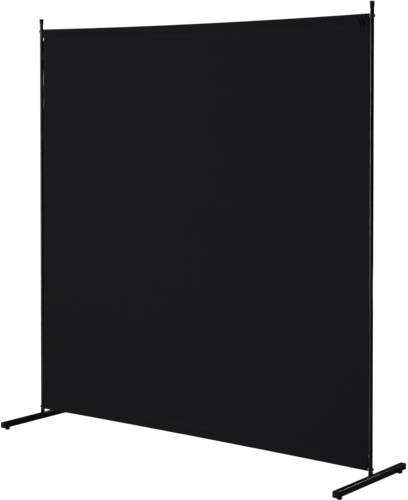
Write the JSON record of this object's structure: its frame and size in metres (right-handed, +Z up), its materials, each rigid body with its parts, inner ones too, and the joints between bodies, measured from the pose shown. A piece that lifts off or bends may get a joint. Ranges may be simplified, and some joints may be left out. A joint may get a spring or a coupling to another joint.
{
  "type": "room divider screen",
  "caption": "Free-standing fabric room divider: a cloth panel stretched in a round-tube frame, standing on square-tube swivel feet with screw glides.",
  "frame": {"origin": "On the floor, midway between the uprights: the bottom centre of the whole object's box.", "axes": "+Z up, X along the panel from the left upright to the right one, -Y towards the front; the feet lie along Y at rest."},
  "size_m": [1.7766, 0.508, 1.85],
  "materials": {
    "frame_paint": "glossy black powder coat on steel tube",
    "cap_plastic": "moulded black plastic, satin",
    "plug_plastic": "moulded black plastic, fine matt grain",
    "glide_plastic": "moulded black nylon, matt",
    "zinc": "bright zinc plate on steel",
    "panel_cloth": "plain-weave black polyester, sewn hems and pockets"
  },
  "bodies": {
    "frame": {"left_lower_upright": "frame_paint", "left_upper_upright": "frame_paint", "left_top_cap": "cap_plastic", "left_upright_insert": "zinc", "left_foot_washer": "zinc", "left_foot_bolt": "zinc", "right_lower_upright": "frame_paint", "right_upper_upright": "frame_paint", "right_top_cap": "cap_plastic", "right_upright_insert": "zinc", "right_foot_washer": "zinc", "right_foot_bolt": "zinc", "top_rod_left": "frame_paint", "top_rod_right": "frame_paint", "top_left_rod_insert": "zinc", "top_left_saddle_washer": "cap_plastic", "top_left_rod_bolt": "zinc", "top_right_rod_insert": "zinc", "top_right_saddle_washer": "cap_plastic", "top_right_rod_bolt": "zinc", "bottom_rod_left": "frame_paint", "bottom_rod_right": "frame_paint", "bottom_left_rod_insert": "zinc", "bottom_left_saddle_washer": "cap_plastic", "bottom_left_rod_bolt": "zinc", "bottom_right_rod_insert": "zinc", "bottom_right_saddle_washer": "cap_plastic", "bottom_right_rod_bolt": "zinc", "fabric_panel": "panel_cloth"},
    "left_foot": {"left_foot_tube": "frame_paint", "left_pole_socket": "frame_paint", "left_front_end_plug": "plug_plastic", "left_front_glide_bush": "zinc", "left_rear_end_plug": "plug_plastic", "left_rear_glide_bush": "zinc"},
    "left_front_glide": {"left_front_glide_pad": "glide_plastic"},
    "left_front_screw": {"left_front_glide_stud": "zinc"},
    "left_rear_glide": {"left_rear_glide_pad": "glide_plastic"},
    "left_rear_screw": {"left_rear_glide_stud": "zinc"},
    "right_foot": {"right_foot_tube": "frame_paint", "right_pole_socket": "frame_paint", "right_front_end_plug": "plug_plastic", "right_front_glide_bush": "zinc", "right_rear_end_plug": "plug_plastic", "right_rear_glide_bush": "zinc"},
    "right_front_glide": {"right_front_glide_pad": "glide_plastic"},
    "right_front_screw": {"right_front_glide_stud": "zinc"},
    "right_rear_glide": {"right_rear_glide_pad": "glide_plastic"},
    "right_rear_screw": {"right_rear_glide_stud": "zinc"}
  },
  "joints": [
    {"name": "left_foot_swivel", "type": "hinge", "parent": "frame", "child": "left_foot", "pos_m": [-0.875, 0, 0.036], "axis": [0, 0, 1], "range_deg": [-90, 90]},
    {"name": "left_front_glide_height", "type": "slide", "parent": "left_foot", "child": "left_front_glide", "axis": [0, 0, -1], "range_m": [0, 0.01]},
    {"name": "left_front_screw_turn", "type": "hinge", "parent": "left_front_glide", "child": "left_front_screw", "pos_m": [-0.875, -0.224, 0.01], "axis": [0, 0, -1], "range_deg": [0, 2880]},
    {"name": "left_rear_glide_height", "type": "slide", "parent": "left_foot", "child": "left_rear_glide", "axis": [0, 0, -1], "range_m": [0, 0.01]},
    {"name": "left_rear_screw_turn", "type": "hinge", "parent": "left_rear_glide", "child": "left_rear_screw", "pos_m": [-0.875, 0.224, 0.01], "axis": [0, 0, -1], "range_deg": [0, 2880]},
    {"name": "right_foot_swivel", "type": "hinge", "parent": "frame", "child": "right_foot", "pos_m": [0.875, 0, 0.036], "axis": [0, 0, -1], "range_deg": [-90, 90]},
    {"name": "right_front_glide_height", "type": "slide", "parent": "right_foot", "child": "right_front_glide", "axis": [0, 0, -1], "range_m": [0, 0.01]},
    {"name": "right_front_screw_turn", "type": "hinge", "parent": "right_front_glide", "child": "right_front_screw", "pos_m": [0.875, -0.224, 0.01], "axis": [0, 0, -1], "range_deg": [0, 2880]},
    {"name": "right_rear_glide_height", "type": "slide", "parent": "right_foot", "child": "right_rear_glide", "axis": [0, 0, -1], "range_m": [0, 0.01]},
    {"name": "right_rear_screw_turn", "type": "hinge", "parent": "right_rear_glide", "child": "right_rear_screw", "pos_m": [0.875, 0.224, 0.01], "axis": [0, 0, -1], "range_deg": [0, 2880]}
  ],
  "couplings": [
    {"joint": "left_front_glide_height", "follows": "left_front_screw_turn", "m_per_rad": 0.00019894},
    {"joint": "left_rear_glide_height", "follows": "left_rear_screw_turn", "m_per_rad": 0.00019894},
    {"joint": "right_front_glide_height", "follows": "right_front_screw_turn", "m_per_rad": 0.00019894},
    {"joint": "right_rear_glide_height", "follows": "right_rear_screw_turn", "m_per_rad": 0.00019894}
  ]
}
